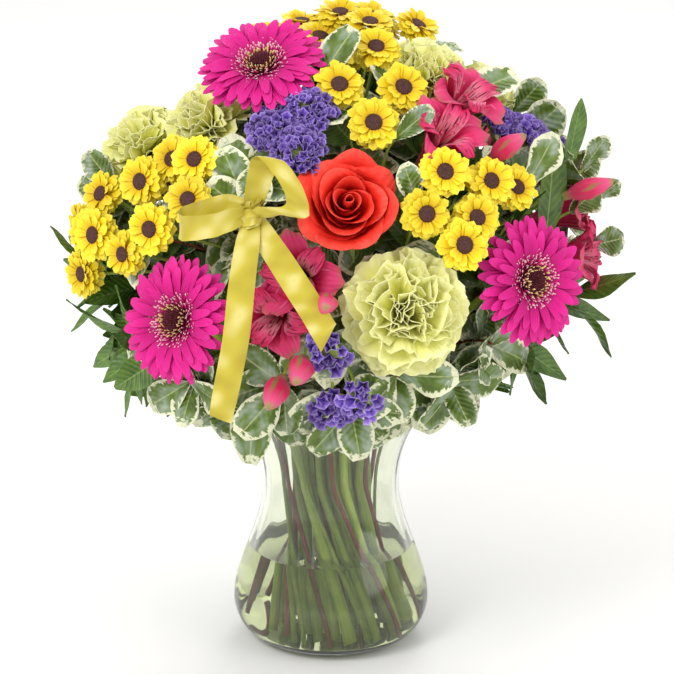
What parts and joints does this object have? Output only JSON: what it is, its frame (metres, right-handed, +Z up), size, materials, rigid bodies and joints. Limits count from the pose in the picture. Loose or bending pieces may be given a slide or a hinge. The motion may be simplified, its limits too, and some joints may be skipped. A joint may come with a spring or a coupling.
{
  "type": "mixed flower bouquet in a glass vase",
  "caption": "Domed bouquet of gerberas, a rose, carnations, button daisies, alstroemeria and statice with a ribbon bow, standing in a flared clear glass vase of water.",
  "frame": {"origin": "centre of the vase's flat foot, on the surface that it stands on", "axes": "+Z up along the vase's axis, -Y towards the front of the bouquet, +X to the right seen from the front"},
  "size_m": [0.418, 0.3867, 0.4684],
  "materials": {
    "glass": "clear pressed glass, polished",
    "water": "clear water",
    "ribbon": "single-face satin",
    "stem": "fresh green plant stem",
    "gerbera_petals": "velvety petals",
    "carnation_petals": "soft ruffled petals",
    "rose_petals": "smooth waxy petals",
    "pom_petals": "matt petals",
    "alstroemeria_petals": "satin petals",
    "statice_florets": "papery florets",
    "variegated_leaf": "leathery leaf, cream edged",
    "plain_leaf": "waxy leaf"
  },
  "bodies": {
    "root": {"alstroemeria_back": "alstroemeria_petals", "alstroemeria_left": "alstroemeria_petals", "alstroemeria_low": "alstroemeria_petals", "alstroemeria_right": "alstroemeria_petals", "alstroemeria_top": "alstroemeria_petals", "carnation_back": "carnation_petals", "carnation_back_stem": "stem", "carnation_front": "carnation_petals", "carnation_front_stem": "stem", "carnation_left_high": "carnation_petals", "carnation_left_high_stem": "stem", "carnation_left_low": "carnation_petals", "carnation_left_low_stem": "stem", "carnation_right_high": "carnation_petals", "carnation_right_high_stem": "stem", "carnation_right_low": "carnation_petals", "carnation_right_low_stem": "stem", "gerbera_back": "gerbera_petals", "gerbera_back_stem": "stem", "gerbera_left": "gerbera_petals", "gerbera_left_stem": "stem", "gerbera_right": "gerbera_petals", "gerbera_right_stem": "stem", "gerbera_top": "gerbera_petals", "gerbera_top_stem": "stem", "glass_vase": "glass", "pointed_sprig_back": "plain_leaf", "pointed_sprig_left": "plain_leaf", "pointed_sprig_left_low": "plain_leaf", "pointed_sprig_right": "plain_leaf", "pointed_sprig_right_high": "plain_leaf", "pom_spray_back": "pom_petals", "pom_spray_left_high": "pom_petals", "pom_spray_left_low": "pom_petals", "pom_spray_right": "pom_petals", "pom_spray_top_back": "pom_petals", "pom_spray_top_front": "pom_petals", "ribbon_bow": "ribbon", "rose": "rose_petals", "rose_stem": "stem", "statice_back": "statice_florets", "statice_low": "statice_florets", "statice_right": "statice_florets", "statice_top": "statice_florets", "variegated_sprig_back": "variegated_leaf", "variegated_sprig_back_left": "variegated_leaf", "variegated_sprig_back_right": "variegated_leaf", "variegated_sprig_left": "variegated_leaf", "variegated_sprig_left_front": "variegated_leaf", "variegated_sprig_low_front": "variegated_leaf", "variegated_sprig_low_left": "variegated_leaf", "variegated_sprig_low_right": "variegated_leaf", "variegated_sprig_right": "variegated_leaf", "variegated_sprig_right_front": "variegated_leaf", "variegated_sprig_top": "variegated_leaf", "water": "water"}
  },
  "joints": []
}
